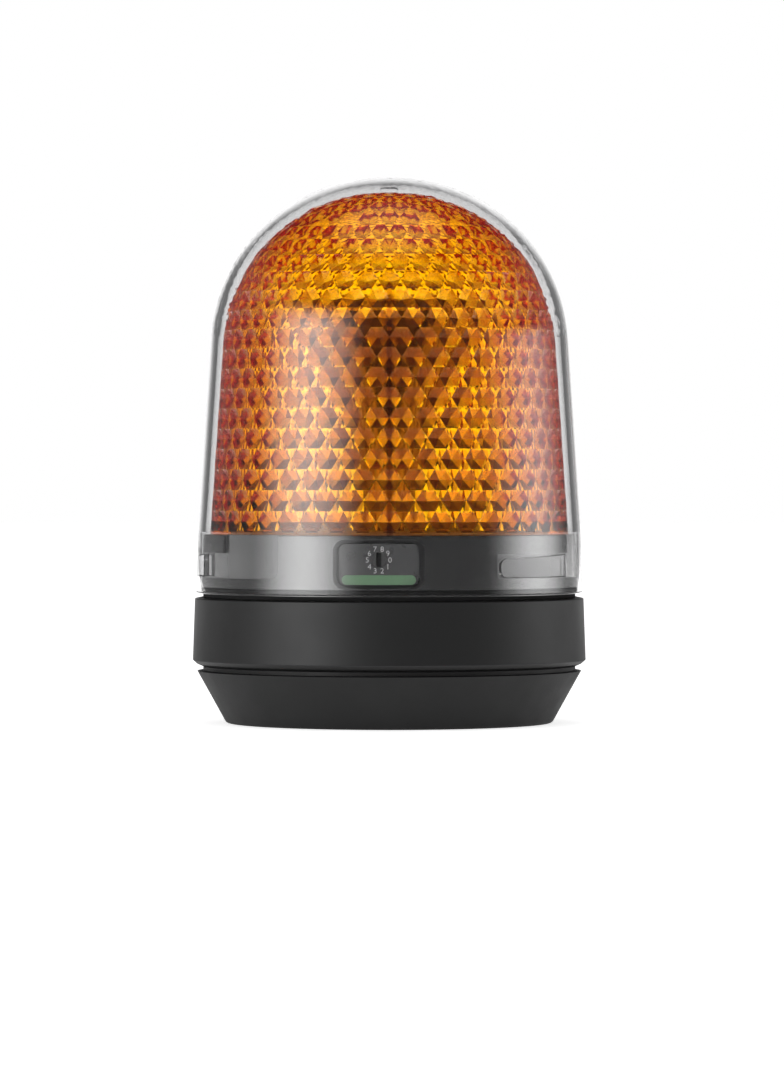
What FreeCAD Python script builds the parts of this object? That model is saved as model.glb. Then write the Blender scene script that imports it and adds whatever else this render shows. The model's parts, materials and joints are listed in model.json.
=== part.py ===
import FreeCAD, Part
import math
import os

# Signal beacon with a clear globe over a prismatic amber lens. Millimetres, +Z up.
# The origin is the middle of the foot, and the settings window faces -Y.
# Angles go round +Z from the front, so that +90 degrees is +X.

V = FreeCAD.Vector

# Clearances
loose_gap = 0.3       # between pieces that turn past each other
slide_gap = 0.1       # between a rotor and its bore
seat_gap = 0.05       # between a fixed piece and the hole it sits in
tip_gap = 1.0         # past the end of a screw in its hole
cut_past = 1.0        # how far a cutter runs past the face that it opens
edge_round = 0.3      # on small moulded edges

# Overall
body_r = 52.07        # the ring at its widest
total_height = 144.3

# Base: the tapered foot
foot_inset = 8.87     # from the ring's widest radius
foot_round = 1.2
base_rim_inset = 1.22
base_rim_drop = 1.2   # from the joint down to the base's rim
joint_z = 15.0        # plane where base and body meet
groove_inset = 2.77   # bottom of the groove between them
groove_height = 0.95  # its upright bottom, which belongs to the base
base_floor = 3.2
base_wall = 3.2
spigot_wall = 3.4
spigot_height = 4.5
spigot_gap = 0.25

# Body: the ring and the collar above it
ring_lift = 1.7       # from the joint up to the ring's widest place
ring_chamfer = 1.15   # steeper outer part of the ring's lower edge
ring_chamfer_lift = 0.7
ring_lean = 0.57      # how far the ring draws in towards its top
ring_top_z = 33.0
ring_round = 0.3
ring_slope = 0.45     # rise of the ring's top face towards the neck
body_wall = 3.3
neck_inset = 2.2      # from the ring's top radius to the dark gap under the skirt
step_height = 1.3
collar_height = 17.0  # above the ring
collar_wall = 4.2     # left inside the bayonet slots
collar_gap = 0.35     # between collar and skirt
body_floor_drop = 1.5 # from the ring's top to the floor inside the body
body_floor = 2.5
wire_hole_r = 8.0

# Globe: skirt, wall and dome
skirt_inset = 0.2     # from the ring's top radius
skirt_lean = 0.55
skirt_bend = 0.5      # from the collar's top to where the globe's own lean begins
globe_draft = 3.79
globe_flat_r = 1.96   # flat spot in the middle of the dome
globe_wall = 2.0
skirt_wall = 1.1      # thinner than the globe above it, with a ledge between
skirt_edge_round = 0.3
gate_pad_r = 2.5
gate_pad_height = 0.8

# Bayonet: one wide lug and two narrow ones, each given by its first angle and its width
globe_twist = 34.0
wide_lug_start = 37.7
wide_lug_width = 31.0
left_lug_start = -89.6
rear_lug_start = 160.0
narrow_lug_width = 20.5
lug_lift = 4.6        # from the step up to the lugs
lug_height = 6.0
lug_reach = 0.8       # how far the lugs stand in from the skirt
lug_edge = 0.3
lug_ramp = 0.95
lug_nose_r = 2.2
lug_end_gap = 0.7     # degrees between a lug and the end of its slot
slot_gap = 0.3        # above, below and behind a lug
slot_corner_r = 2.3

# Amber lens: hexagonal pits on a triangular grid, rows of a planar grid at the crown
lens_gap = 1.35       # between lens and globe at the foot
lens_top_gap = 2.0
lens_rim = 0.1        # how far the smooth rim stands out past the prisms
lens_rim_height = 0.7
lens_draft = 3.9
lens_flat_r = 1.88
lens_wall = 3.0
pits_around = 44
pit_depth = 1.6
row_aspect = 0.81     # height of a triangle over its base on the wall
crown_r = 30.0        # the rings of pits stop inside this radius
crown_pitch = 2.6
crown_pit_depth = 1.2
crown_margin = 1.5    # between the last ring and the crown's own grid
optics_turn = 3.2     # lens and reflector stand turned from the front by this angle
hook_count = 3
hook_start = 60.0
hook_width = 12.0
hook_depth = 4.0
hook_wall = 1.3
hook_lip = 0.7
hook_side_room = 1.0  # degrees beside a hook

# Settings window, dial and switch
window_lift = 8.3     # from the step up to the middle of the window
window_width = 23.0
window_height = 12.4
window_slope = 0.9    # how far the window's walls lean in
window_round = 2.9
plate_sink = 1.1      # from the collar's surface to the plate
plate_flange = 1.4
plate_flange_wall = 1.1
label_drop = 3.96     # below the middle of the window
label_width = 18.9
label_height = 2.5
label_thickness = 0.3
label_proud = 0.05
dial_lift = 1.2       # above the middle of the window
dial_r = 1.95
dial_sink = 0.2
dial_slot_width = 1.3
dial_slot_length = 3.6
dial_slot_depth = 1.2
dial_seat_depth = 3.4
switch_side = 10.0
switch_depth = 5.2
switch_edge = 0.6
switch_board_width = 14.0

# Boards inside
board_thickness = 1.6
main_board_gap = 3.4  # between the board and the collar's bore
main_board_lift = 4.5
led_board_gap = 1.0   # between the board and the lens's rim
spreader_inset = 8.0  # from the edge of the lamp board
spreader_thickness = 1.5
spreader_drop = 2.1   # below the collar's top
standoff_count = 4
standoff_inset = 11.0 # from the edge of the main board
standoff_flats = 5.5
standoff_stud = 4.0
boss_r = 3.6
board_screw_r = 1.45
board_screw_head_r = 2.8
board_screw_head = 1.6
board_screw_reach = 9.0
main_board_hole_r = 6.0

# Reflector and lamps
reflector_stem_r = 4.0
reflector_top_r = 25.5
reflector_drop = 32.3 # from the lens's top to the reflector's
reflector_wall = 1.6
reflector_foot_r = 9.0
reflector_foot = 1.6
reflector_bore_depth = 14.0
fin_count = 4
fin_thickness = 1.6
fin_inset = 1.0
fin_height = 2.5      # how far the fins stand out from the horn
cap_height = 4.0
cap_round = 1.4
cap_rim = 0.5
cap_spigot = 2.0
reflector_screw_r = 2.0
reflector_screw_head_r = 3.6
reflector_screw_head = 2.0
leds_per_bay = 3
led_circle_r = 17.0
led_step = 24.0
led_side = 3.5
led_height = 0.8
led_dome_r = 1.4

# Parts on the main board
terminal_width = 15.2
terminal_depth = 8.0
terminal_height = 9.6
terminal_y = 16.0
terminal_poles = 3
terminal_pitch = 5.0
terminal_screw_r = 1.5
terminal_screw_depth = 4.0
terminal_opening = 3.0
terminal_opening_lift = 1.0
terminal_screw_sink = 0.6
terminal_slot_width = 0.6
terminal_slot_depth = 1.0
capacitor_r = 4.0
capacitor_height = 9.6
capacitor_x = -19.0
capacitor_pitch = 11.0
capacitor_edge = 0.6
inductor_x = 19.0
inductor_side = 10.0
inductor_height = 5.0
inductor_core_r = 3.2
inductor_flange = 1.0
chip_side = 7.0
chip_height = 1.0
chip_y = -20.0
header_width = 12.7
header_depth = 5.0
header_inset = 4.2    # from the edge of the main board
header_pins = 5
header_pitch = 2.54
header_pin_side = 0.64

# Seals, fasteners and inlet
drive_share = 0.5     # drive recess of a screw, as a share of its head's radius
drive_depth_share = 0.6
seal_section = 1.3
globe_seal_lift = 1.05 # above the step
body_seal_lift = 2.4   # above the joint
groove_side_gap = 0.1
base_screw_count = 3
base_screw_inset = 10.2 # from the foot's edge
base_screw_start = 60.0
base_screw_r = 2.0
base_screw_head_r = 3.6
base_screw_head = 3.0
base_screw_reach = 9.0
base_screw_sink = 6.0
base_boss_r = 6.0
body_boss_r = 5.0
insert_count = 3
insert_inset = 8.2    # from the foot's edge
insert_start = 0.0
insert_r = 3.5
insert_bore_r = 2.1
insert_length = 10.0
insert_boss_height = 12.0
gasket_inset = 1.6    # from the foot's edge
gasket_width = 2.7
gasket_thickness = 1.0
inlet_r = 6.0
grommet_bore_r = 3.5
grommet_flange_r = 8.3
grommet_flange = 1.1
grommet_sink = 1.2
grommet_tip_r = 5.0
grommet_top_z = 9.0
grommet_round = 0.4


# Sizes that follow from the ones above

foot_r = body_r - foot_inset
base_rim_r = body_r - base_rim_inset
base_rim_z = joint_z - base_rim_drop
groove_r = body_r - groove_inset
gasket_out_r = foot_r - gasket_inset
gasket_in_r = gasket_out_r - gasket_width
body_seal_z = joint_z + body_seal_lift

ring_low_z = joint_z + ring_lift
ring_top_r = body_r - ring_lean
neck_r = ring_top_r - neck_inset
step_z = ring_top_z + step_height
collar_top_z = ring_top_z + collar_height
body_floor_z = ring_top_z - body_floor_drop
body_bore_r = ring_top_r - body_wall
spigot_r = body_bore_r - spigot_gap
spigot_bore_r = spigot_r - spigot_wall
spigot_top_z = joint_z + spigot_height
body_ceiling_z = body_floor_z - body_floor

skirt_z = step_z + loose_gap
skirt_foot_r = ring_top_r - skirt_inset
skirt_top_r = skirt_foot_r - skirt_lean
skirt_top_z = collar_top_z + skirt_bend
globe_seal_z = step_z + globe_seal_lift

lens_foot_r = skirt_top_r - globe_wall - lens_gap
lens_foot_z = collar_top_z + lens_rim_height
lens_top_z = total_height - globe_wall - lens_top_gap
lens_rim_r = lens_foot_r + lens_rim
lug_z = step_z + lug_lift
lug_r = skirt_top_r - skirt_wall - lug_reach
slot_floor_r = lug_r - slot_gap
collar_bore_r = slot_floor_r - collar_wall
lens_rim_bore_r = collar_bore_r - slide_gap - hook_wall

window_z = step_z + window_lift
label_z = window_z - label_drop
dial_z = window_z + dial_lift

main_board_r = collar_bore_r - main_board_gap
main_board_z = body_floor_z + main_board_lift
main_top_z = main_board_z + board_thickness
header_y = main_board_r - header_inset
led_board_r = lens_rim_bore_r - led_board_gap
spreader_r = led_board_r - spreader_inset
spreader_z = collar_top_z - spreader_drop
led_board_z = spreader_z + spreader_thickness
led_top_z = led_board_z + board_thickness
reflector_top_z = lens_top_z - reflector_drop


def skirt_r_at(z):
    """Outer radius of the globe's skirt at a height."""
    share = (z - skirt_z) / (skirt_top_z - skirt_z)
    return skirt_foot_r + (skirt_top_r - skirt_foot_r) * share


def collar_r_at(z):
    """Outer radius of the collar, which runs parallel to the skirt."""
    return skirt_r_at(z) - skirt_wall - collar_gap


def dome_radius(wall_r, wall_z, draft, flat_r, top_z):
    """Radius of the arc that runs on from a leaning wall into the edge of a flat top."""
    lean = math.radians(draft)
    across = math.cos(lean) * (wall_r - flat_r) - math.sin(lean) * (top_z - wall_z)
    return across / (1 - math.sin(lean))


globe_dome_r = dome_radius(skirt_top_r, skirt_top_z, globe_draft, globe_flat_r, total_height)
lens_dome_r = dome_radius(lens_foot_r, lens_foot_z, lens_draft, lens_flat_r, lens_top_z)
plate_r = collar_r_at(window_z) - plate_sink
plate_back_r = collar_bore_r - plate_flange_wall
switch_front = math.sqrt(plate_back_r ** 2 - (switch_side / 2) ** 2) - loose_gap
switch_back = switch_front - switch_depth
body_groove_depth = seal_section - spigot_gap / 2
globe_groove_depth = seal_section + seat_gap - (collar_gap - loose_gap)


# Helpers

def outline(corners):
    """Closed wire through (x, z) corners in the XZ plane; a third number rounds that corner."""
    points = [V(corner[0], 0, corner[1]) for corner in corners]
    starts, ends, edges = [], [], []
    for i, here in enumerate(points):
        radius = corners[i][2] if len(corners[i]) > 2 else 0
        back = (points[i - 1] - here).normalize()
        ahead = (points[(i + 1) % len(points)] - here).normalize()
        half = back.getAngle(ahead) / 2
        reach = radius / math.tan(half)
        starts.append(here + back * reach)
        ends.append(here + ahead * reach)
        if radius:
            middle = here + (back + ahead).normalize() * (radius / math.sin(half) - radius)
            edges.append(Part.Arc(starts[i], middle, ends[i]).toShape())
        if i and (starts[i] - ends[i - 1]).Length > 1e-6:
            edges.append(Part.LineSegment(ends[i - 1], starts[i]).toShape())
    if (starts[0] - ends[-1]).Length > 1e-6:
        edges.append(Part.LineSegment(ends[-1], starts[0]).toShape())
    return Part.Wire(Part.__sortEdges__(edges))


def turned(corners):
    """Solid of revolution about Z from an (r, z) outline."""
    return Part.Face(outline(corners)).revolve(V(), V(0, 0, 1), 360)


def around(shape, angle):
    """Copy of a shape turned about Z."""
    copy = shape.copy()
    copy.rotate(V(), V(0, 0, 1), angle)
    return copy


def sector(corners, start, sweep):
    """Part of a revolution, from the angle start over the angle sweep."""
    piece = Part.Face(outline(corners)).revolve(V(), V(0, 0, 1), sweep)
    return around(piece, start - 90)


def rectangle(width, height, z, radius=0):
    """Corners of an upright rectangle centred at a height, with rounded corners."""
    x, h = width / 2, height / 2
    return [(-x, z - h, radius), (x, z - h, radius), (x, z + h, radius), (-x, z + h, radius)]


def wrapped(corners, r_in, r_out, angle=0):
    """A flat outline pushed out from the axis towards an angle, kept between two radii."""
    prism = Part.Face(outline(corners)).extrude(V(0, -2 * r_out, 0))
    low = prism.BoundBox.ZMin
    height = prism.BoundBox.ZLength
    ring = Part.makeCylinder(r_out, height, V(0, 0, low))
    ring = ring.cut(Part.makeCylinder(r_in, height, V(0, 0, low)))
    return around(ring.common(prism), angle)


def spot(radius, angle):
    """Point on a circle about the axis, at an angle from the front."""
    turn = math.radians(angle)
    return V(radius * math.sin(turn), -radius * math.cos(turn), 0)


def rod(radius, low, high, at=V()):
    """Upright cylinder between two heights."""
    return Part.makeCylinder(radius, high - low, V(at.x, at.y, low))


def block(width, depth, low, high, at=V()):
    """Upright box between two heights, centred on a point."""
    return Part.makeBox(width, depth, high - low, V(at.x - width / 2, at.y - depth / 2, low))


def circle_of(count, radius, start):
    """Evenly spaced points about the axis."""
    return [spot(radius, start + 360 * i / count) for i in range(count)]


def group(solids):
    """Several separate solids in one piece list."""
    return Part.makeCompound(solids)


def screw(at, seat, reach, radius, head_r, head, down=1):
    """Cap screw with a drive recess; the head lies under the seat when down is -1."""
    tip = seat - down * reach
    top = seat + down * head
    shank = rod(radius, min(seat, tip), max(seat, tip), at)
    cap = rod(head_r, min(seat, top), max(seat, top), at)
    recess_z = top - down * head * drive_depth_share
    recess = rod(head_r * drive_share, min(top, recess_z), max(top, recess_z), at)
    return shank.fuse(cap).cut(recess).removeSplitter()


base_screw_spots = circle_of(base_screw_count, foot_r - base_screw_inset, base_screw_start)
insert_spots = circle_of(insert_count, foot_r - insert_inset, insert_start)
standoff_spots = circle_of(standoff_count, main_board_r - standoff_inset, 180 / standoff_count)
lugs = [(wide_lug_start, wide_lug_width), (left_lug_start, narrow_lug_width),
        (rear_lug_start, narrow_lug_width)]


# Base and its seals

def seal_groove(face_r, depth, z):
    """Ring-shaped cutter for a seal groove in a round face."""
    low = z - seal_section / 2 - groove_side_gap
    high = z + seal_section / 2 + groove_side_gap
    deep = face_r - depth
    out_r = face_r + cut_past
    return turned([(deep, low), (out_r, low), (out_r, high), (deep, high)])


def seal_ring(floor_r, z):
    """Round-section seal that lies on the floor of its groove."""
    return Part.makeTorus(floor_r + seal_section / 2 + seat_gap, seal_section / 2, V(0, 0, z))


def mounting_base():
    inner_foot_r = foot_r + base_floor * (base_rim_r - foot_r) / base_rim_z - base_wall
    base = turned([
        (0, 0), (foot_r, 0, foot_round), (base_rim_r, base_rim_z), (groove_r, joint_z - groove_height),
        (groove_r, joint_z), (spigot_r, joint_z), (spigot_r, spigot_top_z, edge_round),
        (spigot_bore_r, spigot_top_z), (spigot_bore_r, joint_z - base_wall),
        (inner_foot_r, base_floor), (0, base_floor)])
    bosses = [rod(base_boss_r, base_floor, joint_z, at) for at in base_screw_spots]
    bosses += [rod(base_boss_r, base_floor, insert_boss_height, at) for at in insert_spots]
    base = base.fuse(bosses)
    cuts = [seal_groove(spigot_r, body_groove_depth, body_seal_z)]
    for at in base_screw_spots:
        cuts.append(rod(base_screw_head_r + loose_gap, 0, base_screw_sink, at))
        cuts.append(rod(base_screw_r + loose_gap, 0, joint_z, at))
    for at in insert_spots:
        cuts.append(rod(insert_r + seat_gap, 0, insert_length + seat_gap, at))
    gasket_cut = rod(gasket_out_r + seat_gap, 0, gasket_thickness)
    cuts.append(gasket_cut.cut(rod(gasket_in_r - seat_gap, 0, gasket_thickness)))
    cuts.append(rod(inlet_r, 0, base_floor))
    cuts.append(rod(grommet_flange_r + seat_gap, 0, grommet_sink))
    return base.cut(cuts).removeSplitter()


def body_seal():
    return seal_ring(spigot_r - body_groove_depth, body_seal_z)


def base_gasket():
    return rod(gasket_out_r, 0, gasket_thickness).cut(rod(gasket_in_r, 0, gasket_thickness))


def mounting_inserts():
    sleeves = []
    for at in insert_spots:
        sleeve = rod(insert_r, 0, insert_length, at)
        sleeves.append(sleeve.cut(rod(insert_bore_r, 0, insert_length, at)))
    return group(sleeves)


def base_screws():
    reach = joint_z - base_screw_sink + base_screw_reach
    return group([screw(at, base_screw_sink, reach, base_screw_r, base_screw_head_r,
                        base_screw_head, -1) for at in base_screw_spots])


def cable_grommet():
    low = grommet_sink - grommet_flange
    neck_r = inlet_r - seat_gap
    return turned([
        (grommet_bore_r, low), (grommet_flange_r, low), (grommet_flange_r, grommet_sink),
        (neck_r, grommet_sink), (neck_r, base_floor), (grommet_flange_r, base_floor),
        (grommet_flange_r, base_floor + grommet_flange, grommet_round),
        (grommet_tip_r, grommet_top_z), (grommet_bore_r, grommet_top_z)])


# Body, bayonet slots and globe

def bayonet_slot(start, width):
    """Cutter for one L slot: a channel round the collar and the way in from above."""
    low = lug_z - slot_gap
    high = lug_z + lug_height + slot_gap
    out_r = skirt_foot_r
    first = start - lug_end_gap
    way_in = width + 2 * lug_end_gap + math.degrees(slot_corner_r / slot_floor_r)
    channel = sector([(slot_floor_r, low), (out_r, low), (out_r, high), (slot_floor_r, high)],
                     first, globe_twist + way_in)
    top = collar_top_z + cut_past
    entry = sector([(slot_floor_r, low), (out_r, low), (out_r, top), (slot_floor_r, top)],
                   first + globe_twist, way_in)
    slot = channel.fuse(entry).removeSplitter()
    last = spot(1, first + globe_twist + way_in)

    def is_lower_end(edge):
        middle = edge.CenterOfMass
        radial = V(middle.x, middle.y, 0).normalize()
        return abs(middle.z - low) < 1e-4 and (radial - last).Length < 1e-4

    return slot.makeFillet(slot_corner_r, [edge for edge in slot.Edges if is_lower_end(edge)])


def window_cutter():
    """Window in the collar with leaning walls, open to the inside for the plate."""
    narrow = 2 * window_slope
    outer = outline(rectangle(window_width, window_height, window_z, window_round))
    inner = outline(rectangle(window_width - narrow, window_height - narrow, window_z,
                              window_round - window_slope))
    outer.translate(V(0, -collar_r_at(window_z), 0))
    inner.translate(V(0, -plate_r, 0))
    inward = Part.Face(inner).extrude(V(0, plate_r / 2, 0))
    outward = Part.Face(outer).extrude(V(0, -plate_r / 2, 0))
    return Part.makeLoft([outer, inner], True, True).fuse([inward, outward])


def body_housing():
    body = turned([
        (body_bore_r, joint_z), (groove_r, joint_z),
        (body_r - ring_chamfer, joint_z + ring_chamfer_lift), (body_r, ring_low_z, edge_round),
        (ring_top_r, ring_top_z, ring_round), (neck_r, ring_top_z + ring_slope), (neck_r, step_z),
        (collar_r_at(step_z), step_z), (collar_r_at(collar_top_z), collar_top_z, edge_round),
        (collar_bore_r, collar_top_z), (collar_bore_r, body_floor_z), (wire_hole_r, body_floor_z),
        (wire_hole_r, body_ceiling_z), (body_bore_r, body_ceiling_z)])
    bosses = [rod(body_boss_r, joint_z, body_ceiling_z, at) for at in base_screw_spots]
    bosses += [rod(boss_r, body_floor_z, main_board_z, at) for at in standoff_spots]
    body = body.fuse(bosses)
    cuts = [bayonet_slot(start, width) for start, width in lugs]
    cuts.append(window_cutter())
    cuts.append(seal_groove(collar_r_at(globe_seal_z), globe_groove_depth, globe_seal_z))
    for at in base_screw_spots:
        cuts.append(rod(base_screw_r + seat_gap, joint_z, joint_z + base_screw_reach + tip_gap, at))
    for at in standoff_spots:
        cuts.append(rod(board_screw_r + seat_gap, main_board_z - standoff_stud - seat_gap,
                        main_board_z, at))
    hook_cut = hook_outline(seat_gap)
    for i in range(hook_count):
        cuts.append(sector(hook_cut, hook_angle(i) - hook_side_room,
                           hook_width + 2 * hook_side_room))
    return body.cut(cuts).removeSplitter()


def globe_seal():
    return seal_ring(collar_r_at(globe_seal_z) - globe_groove_depth, globe_seal_z)


def dome_centre(wall_r, wall_z, draft, dome_r, top_z):
    """Centre of a dome arc that touches the top plane and the leaning wall line."""
    lean = math.radians(draft)
    z = top_z - dome_r
    r = wall_r - (dome_r - math.sin(lean) * (wall_z - z)) / math.cos(lean)
    return r, z


def dome_body(foot, wall_r, wall_z, draft, dome_r, top_z):
    """Solid dome: foot corners, then the leaning wall, then the arc up to a small flat top."""
    centre_r, centre_z = dome_centre(wall_r, wall_z, draft, dome_r, top_z)

    def on_arc(angle):
        turn = math.radians(angle)
        return V(centre_r + dome_r * math.cos(turn), 0, centre_z + dome_r * math.sin(turn))

    line = [V(r, 0, z) for r, z in foot] + [V(wall_r, 0, wall_z), on_arc(draft)]
    line.insert(0, V(0, 0, line[0].z))
    edges = [Part.LineSegment(p, q).toShape() for p, q in zip(line, line[1:])]
    edges.append(Part.Arc(on_arc(draft), on_arc(45), on_arc(90)).toShape())
    top = V(0, 0, top_z)
    edges.append(Part.LineSegment(on_arc(90), top).toShape())
    edges.append(Part.LineSegment(top, line[0]).toShape())
    return Part.Face(Part.Wire(edges)).revolve(V(), V(0, 0, 1), 360)


def lug(start, width):
    """Bayonet lug: a bullet outline with a ramp on top and a square trailing end."""
    half = lug_r * math.sin(math.radians(width / 2))
    nose = lug_height - lug_ramp
    corners = [(-half, lug_z, lug_nose_r), (half, lug_z), (half, lug_z + lug_height),
               (-half, lug_z + nose, lug_nose_r)]
    piece = wrapped(corners, lug_r, skirt_r_at(lug_z) - skirt_wall / 2, start + width / 2)

    def is_inner(edge):
        return all(abs(math.hypot(v.X, v.Y) - lug_r) < 1e-4 for v in edge.Vertexes)

    return piece.makeFillet(lug_edge, [edge for edge in piece.Edges if is_inner(edge)])


def clear_globe():
    inner_top_z = total_height - globe_wall
    outer = dome_body([(skirt_foot_r, skirt_z)], skirt_top_r, skirt_top_z, globe_draft,
                      globe_dome_r, total_height)
    skirt_bore = [(skirt_foot_r - skirt_wall, skirt_z), (skirt_top_r - skirt_wall, skirt_top_z)]
    inner = dome_body(skirt_bore, skirt_top_r - globe_wall, skirt_top_z, globe_draft,
                      globe_dome_r - globe_wall, inner_top_z)
    globe = outer.cut(inner)
    pad = rod(gate_pad_r, inner_top_z - gate_pad_height, total_height - globe_wall / 2)
    globe = globe.fuse([lug(start, width) for start, width in lugs] + [pad]).removeSplitter()
    rim = [edge for edge in globe.Edges
           if edge.BoundBox.ZMax < skirt_z + 1e-3 and edge.BoundBox.XMax > skirt_foot_r - 1e-3]
    return globe.makeFillet(skirt_edge_round, rim)


# Amber lens

def lens_centre():
    return dome_centre(lens_foot_r, lens_foot_z, lens_draft, lens_dome_r, lens_top_z)


def lens_point(distance):
    """Point (r, z) of the lens outline and its outward direction, at a distance up from its foot."""
    centre_r, centre_z = lens_centre()
    lean = math.radians(lens_draft)
    wall = (centre_z + lens_dome_r * math.sin(lean) - lens_foot_z) / math.cos(lean)
    if distance < wall:
        r = lens_foot_r - distance * math.sin(lean)
        z = lens_foot_z + distance * math.cos(lean)
        return r, z, lean
    turn = lean + (distance - wall) / lens_dome_r
    return centre_r + lens_dome_r * math.cos(turn), centre_z + lens_dome_r * math.sin(turn), turn


def lens_rings():
    """Rings of grid points up the lens, each with its pits pressed in."""
    step = 2 * math.pi / (2 * pits_around)
    spring_r = lens_centre()[0] + lens_dome_r * math.cos(math.radians(lens_draft))
    rings, distance, r = [], 0, lens_foot_r
    while len(rings) % 2 == 0 or r > crown_r:
        k = len(rings)
        r, z, turn = lens_point(distance)
        ring = []
        for j in range(2 * pits_around):
            is_pit = k % 2 and (j + k // 2) % 2 == 0
            sink = pit_depth * r / lens_foot_r if is_pit else 0
            angle = math.radians(optics_turn) + (j + (0 if k % 2 else 0.5)) * step
            out = r - sink * math.cos(turn)
            ring.append(V(out * math.sin(angle), -out * math.cos(angle), z - sink * math.sin(turn)))
        rings.append(ring)
        distance += row_aspect * step * max(r, spring_r)
    return rings


def ring_facets(rings):
    """Triangles between neighbouring rings, which stand half a step apart."""
    facets = []
    count = 2 * pits_around
    for k, (low, high) in enumerate(zip(rings, rings[1:])):
        ahead = k % 2 == 0
        for j in range(count):
            after = (j + 1) % count
            facets.append((low[j], low[after], high[after if ahead else j]))
            facets.append((high[j], low[j if ahead else after], high[after]))
    return facets


def crown_grid(limit_r):
    """Triangles of the crown's planar grid inside a circle, and the loop of points round them."""
    centre_r, centre_z = lens_centre()
    height = crown_pitch * math.sqrt(3) / 2
    reach = int(limit_r / height) + 2

    def flat(a, b):
        return V(crown_pitch * (a + b / 2), height * b, 0)

    def grid_point(a, b):
        point = flat(a, b)
        past = max(point.Length - centre_r, 0)
        sink = crown_pit_depth if a % 2 == 0 and b % 2 == 0 else 0
        point.z = centre_z + math.sqrt(lens_dome_r ** 2 - past ** 2) - sink
        return FreeCAD.Rotation(V(0, 0, 1), optics_turn).multVec(point)

    facets, rim = [], set()
    for a in range(-2 * reach, 2 * reach):
        for b in range(-reach, reach):
            upright = ((a, b), (a + 1, b), (a, b + 1))
            hanging = ((a + 1, b), (a + 1, b + 1), (a, b + 1))
            for cell in (upright, hanging):
                if max(flat(*corner).Length for corner in cell) > limit_r:
                    continue
                facets.append(tuple(grid_point(*corner) for corner in cell))
                for edge in zip(cell, cell[1:] + cell[:1]):
                    if edge[::-1] in rim:
                        rim.remove(edge[::-1])
                    else:
                        rim.add(edge)
    after = dict(rim)
    loop = [min(after)]
    while after[loop[-1]] != loop[0]:
        loop.append(after[loop[-1]])
    return facets, [grid_point(*corner) for corner in loop]


def seam_facets(ring, loop):
    """Triangles that join the last ring to the crown's loop, stepping along the nearer one."""
    facets, i, j = [], 0, 0
    first = min(range(len(loop)), key=lambda n: (loop[n] - ring[0]).Length)
    while i < len(ring) or j < len(loop):
        here, there = ring[i % len(ring)], loop[(first + j) % len(loop)]
        next_ring, next_loop = ring[(i + 1) % len(ring)], loop[(first + j + 1) % len(loop)]
        along_ring = (next_ring - there).Length < (next_loop - here).Length
        if j == len(loop) or (along_ring and i < len(ring)):
            facets.append((here, next_ring, there))
            i += 1
        else:
            facets.append((here, next_loop, there))
            j += 1
    return facets


def hook_angle(index):
    """First angle of one of the hooks under the lens."""
    return hook_start + 360 * index / hook_count - hook_width / 2


def hook_outline(room):
    """Outline of a hook that goes down inside the collar and catches in it."""
    out_r = collar_bore_r - slide_gap + room
    in_r = lens_rim_bore_r - 2 * room
    low = collar_top_z - hook_depth - room
    lip_top = low + hook_depth / 2 + 2 * room
    return [(in_r, low), (out_r, low), (out_r + hook_lip, lip_top - hook_lip),
            (out_r + hook_lip, lip_top), (out_r, lip_top), (out_r, collar_top_z), (in_r, collar_top_z)]


def amber_lens():
    rings = lens_rings()
    last_r = math.hypot(rings[-1][0].x, rings[-1][0].y)
    crown, loop = crown_grid(last_r - crown_margin)
    facets = ring_facets(rings) + seam_facets(rings[-1], loop) + crown
    faces = [Part.Face(Part.makePolygon(facet + facet[:1])) for facet in facets]
    faces.append(Part.Face(Part.makePolygon(rings[0] + rings[0][:1])))
    skin = Part.makeCompound(faces)
    skin.sewShape()
    lens = Part.Solid(skin.Shells[0])
    bore_r = lens_foot_r - lens_wall
    cavity = dome_body([], bore_r, lens_foot_z, lens_draft, lens_dome_r - lens_wall,
                       lens_top_z - lens_wall)
    rim = turned([(lens_rim_bore_r, collar_top_z), (lens_rim_r, collar_top_z),
                  (lens_rim_r, lens_foot_z), (lens_rim_bore_r, lens_foot_z)])
    hooks = [sector(hook_outline(0), hook_angle(i), hook_width) for i in range(hook_count)]
    return lens.cut(cavity).fuse([rim] + hooks).removeSplitter()


# Settings window: plate, label, dial and switch

def settings_plate():
    narrow = 2 * (window_slope + seat_gap)
    face = rectangle(window_width - narrow, window_height - narrow, window_z,
                     window_round - window_slope)
    back = rectangle(window_width - narrow + 2 * plate_flange,
                     window_height - narrow + 2 * plate_flange, window_z, window_round)
    plate = wrapped(face, plate_back_r, plate_r)
    plate = plate.fuse(wrapped(back, plate_back_r, collar_bore_r - slide_gap))
    shaft = Part.makeCylinder(dial_r + slide_gap, plate_r, V(0, -plate_r - cut_past, dial_z), V(0, 1, 0))
    recess = wrapped(label_outline(seat_gap), plate_r - label_thickness, plate_r + cut_past)
    return plate.cut([shaft, recess]).removeSplitter()


def label_outline(room):
    """Pill outline with room round it."""
    height = label_height + 2 * room
    return rectangle(label_width + 2 * room, height, label_z, height / 2)


def settings_label():
    return wrapped(label_outline(0), plate_r - label_thickness + seat_gap, plate_r + label_proud)


def settings_dial():
    front = plate_r - dial_sink
    length = front - switch_front + dial_seat_depth
    dial = Part.makeCylinder(dial_r, length, V(0, -front, dial_z), V(0, 1, 0))
    slot = Part.makeBox(dial_slot_width, dial_slot_depth, dial_slot_length,
                        V(-dial_slot_width / 2, -front, dial_z - dial_slot_length / 2))
    return dial.cut(slot)


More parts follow.
